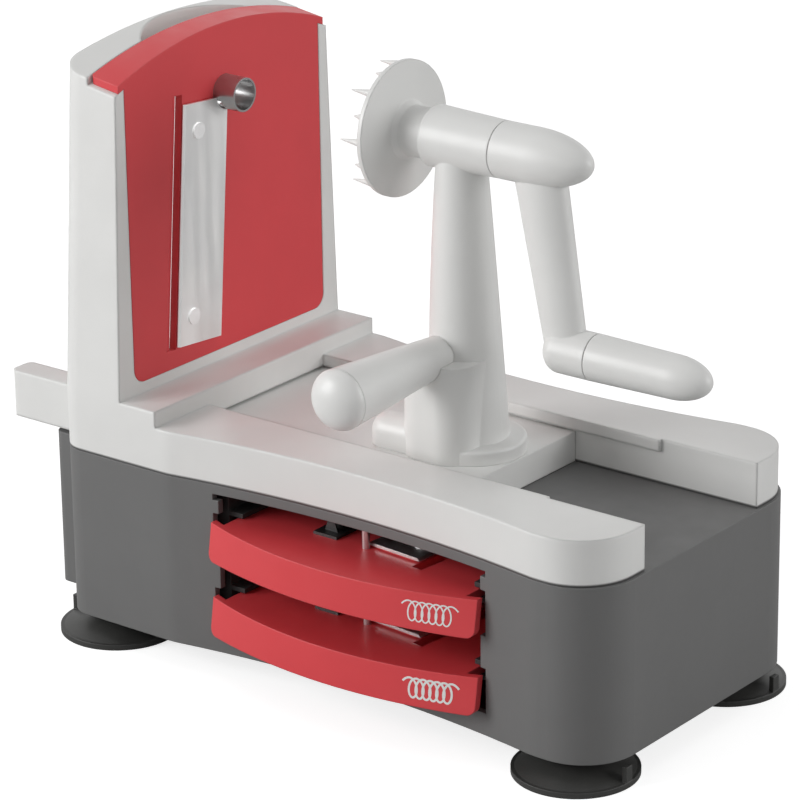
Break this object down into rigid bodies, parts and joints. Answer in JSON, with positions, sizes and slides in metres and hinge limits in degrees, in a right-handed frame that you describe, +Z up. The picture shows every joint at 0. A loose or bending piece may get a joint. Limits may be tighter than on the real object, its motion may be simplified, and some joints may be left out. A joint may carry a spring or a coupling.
{
  "type": "spiral potato cutter",
  "caption": "Hand cranked spiral slicer: a sled with a spiked disc and crank pushes the potato against an upright blade insert, spare inserts are stored in the base.",
  "frame": {"origin": "middle of the bounding box's underside, at the plane the suction feet stand on", "axes": "+X along the slide from the blade to the crank end, +Y to the side away from the stored inserts, +Z up"},
  "size_m": [0.315, 0.1634, 0.2574],
  "materials": {
    "tub_plastic": "fine grained matte",
    "white_plastic": "satin",
    "red_plastic": "satin",
    "cutting_steel": "polished and ground",
    "fastener_steel": "plain",
    "foot_rubber": "soft satin",
    "bush_plastic": "smooth"
  },
  "bodies": {
    "base": {"base_tub": "tub_plastic", "storage_rack": "tub_plastic", "top_frame": "white_plastic", "deck_screws": "fastener_steel", "suction_foot_left_front": "foot_rubber", "suction_foot_left_rear": "foot_rubber", "suction_foot_right_front": "foot_rubber", "suction_foot_right_rear": "foot_rubber", "foot_studs": "fastener_steel", "foot_nuts": "fastener_steel"},
    "sled": {"sled_plate": "white_plastic", "sled_post": "white_plastic", "post_screws": "fastener_steel", "push_handle": "white_plastic", "push_handle_cap": "white_plastic", "push_handle_screw": "fastener_steel", "sleeve_bush_left": "bush_plastic", "sleeve_bush_right": "bush_plastic"},
    "crank": {"spiked_disc": "white_plastic", "crank_shaft": "fastener_steel", "disc_screw": "fastener_steel", "crank_arm": "white_plastic", "grip_pin": "fastener_steel"},
    "grip": {"crank_grip": "white_plastic"},
    "fitted_insert": {"fitted_plate": "red_plastic", "fitted_coring_tube": "cutting_steel", "fitted_blade": "cutting_steel", "fitted_blade_rivets": "cutting_steel"},
    "upper_insert": {"upper_plate": "red_plastic", "upper_coring_tube": "cutting_steel", "upper_blade": "cutting_steel", "upper_blade_rivets": "cutting_steel", "upper_comb": "cutting_steel"},
    "lower_insert": {"lower_plate": "red_plastic", "lower_coring_tube": "cutting_steel", "lower_blade": "cutting_steel", "lower_blade_rivets": "cutting_steel", "lower_comb": "cutting_steel"}
  },
  "joints": [
    {"name": "sled_slide", "type": "slide", "parent": "base", "child": "sled", "axis": [1, 0, 0], "range_m": [-0.0701, 0.085]},
    {"name": "crank_turn", "type": "hinge", "parent": "sled", "child": "crank", "pos_m": [0.154, 0.00375, 0.2284], "axis": [1, 0, 0], "continuous": true},
    {"name": "grip_turn", "type": "hinge", "parent": "crank", "child": "grip", "pos_m": [0.154, 0.00375, 0.151], "axis": [1, 0, 0], "continuous": true},
    {"name": "fitted_insert_lift", "type": "slide", "parent": "base", "child": "fitted_insert", "axis": [0, 0, 1], "range_m": [0, 0.12]},
    {"name": "upper_insert_pull", "type": "slide", "parent": "base", "child": "upper_insert", "axis": [0, -1, 0], "range_m": [0, 0.11]},
    {"name": "lower_insert_pull", "type": "slide", "parent": "base", "child": "lower_insert", "axis": [0, -1, 0], "range_m": [0, 0.11]}
  ]
}
